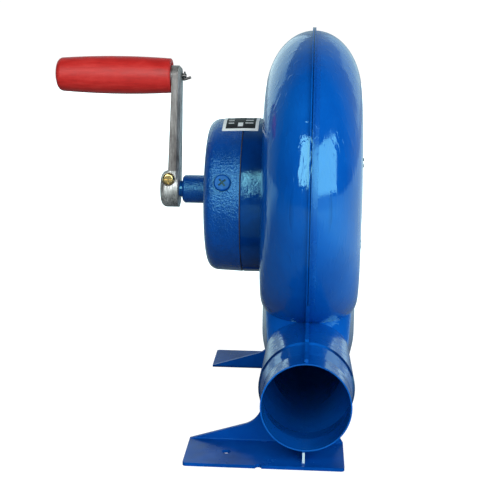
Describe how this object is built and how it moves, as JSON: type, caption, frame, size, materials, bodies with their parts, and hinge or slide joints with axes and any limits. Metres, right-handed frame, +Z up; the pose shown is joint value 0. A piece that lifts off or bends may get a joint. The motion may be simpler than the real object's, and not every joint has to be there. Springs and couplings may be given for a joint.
{
  "type": "hand-cranked forge blower",
  "caption": "Hand-cranked centrifugal forge blower: spiral sheet casing with a round outlet, geared impeller, cast gearbox, crank and bent feet.",
  "frame": {"origin": "middle of the bounding box on the floor under the feet", "axes": "-Y is the way the outlet blows, -X is the side with the gearbox and the crank, +X is the air inlet's side, +Z is up"},
  "size_m": [0.2444, 0.3034, 0.3004],
  "materials": {
    "blue_enamel": "gloss enamel",
    "blue_casting": "gloss enamel over a rough casting",
    "gasket_paper": "oiled paper",
    "zinc_steel": "zinc plated",
    "label": "printed plate, blank",
    "gear_steel": "machined",
    "fan_steel": "galvanised sheet",
    "arm_casting": "bare, brushed",
    "yellow_zinc": "yellow passivated",
    "red_grip": "matte",
    "bronze": "sintered bronze"
  },
  "bodies": {
    "housing": {"casing_shell_gear_side": "blue_enamel", "casing_shell_inlet_side": "blue_enamel", "outlet_spigot_gear_side": "blue_enamel", "outlet_spigot_inlet_side": "blue_enamel", "front_foot": "blue_enamel", "rear_foot": "blue_enamel", "gearbox_base": "blue_casting", "gearbox_cover": "blue_casting", "gearbox_gasket": "gasket_paper", "gearbox_bolts": "zinc_steel", "oil_plug": "blue_enamel", "label_plate": "label", "inlet_ring": "blue_enamel", "inlet_ring_screws": "zinc_steel", "crank_bush": "bronze", "layshaft_bush_cover": "bronze", "layshaft_bush_base": "bronze", "fan_bush_gear_end": "bronze", "fan_bush_fan_end": "bronze"},
    "crank": {"crank_shaft": "blue_enamel", "crank_wheel": "gear_steel", "crank_arm": "arm_casting", "clamp_bolt": "yellow_zinc", "clamp_nut": "zinc_steel"},
    "layshaft": {"layshaft_pinion": "gear_steel", "layshaft_wheel": "gear_steel"},
    "fan": {"fan_shaft_pinion": "gear_steel", "fan_hub": "fan_steel", "fan_backplate": "fan_steel", "fan_blades": "fan_steel", "fan_blade_rivets": "fan_steel", "fan_hub_rivets": "fan_steel", "fan_washer": "zinc_steel", "fan_nut": "zinc_steel"},
    "handle": {"grip": "red_grip", "grip_spindle": "gear_steel", "split_pin": "zinc_steel", "grip_washer": "zinc_steel"}
  },
  "joints": [
    {"name": "crank_turn", "type": "hinge", "parent": "housing", "child": "crank", "pos_m": [-0.0078, 0.0043, 0.171], "axis": [1, 0, 0], "continuous": true},
    {"name": "layshaft_turn", "type": "hinge", "parent": "housing", "child": "layshaft", "pos_m": [0.0222, 0.0043, 0.137], "axis": [1, 0, 0], "continuous": true},
    {"name": "fan_turn", "type": "hinge", "parent": "housing", "child": "fan", "pos_m": [0.0522, 0.0043, 0.167], "axis": [1, 0, 0], "continuous": true},
    {"name": "grip_spin", "type": "hinge", "parent": "crank", "child": "handle", "pos_m": [-0.0778, 0.0043, 0.2615], "axis": [1, 0, 0], "continuous": true}
  ],
  "couplings": [
    {"joint": "layshaft_turn", "follows": "crank_turn", "ratio": -4.6667},
    {"joint": "fan_turn", "follows": "crank_turn", "ratio": 18.667}
  ]
}
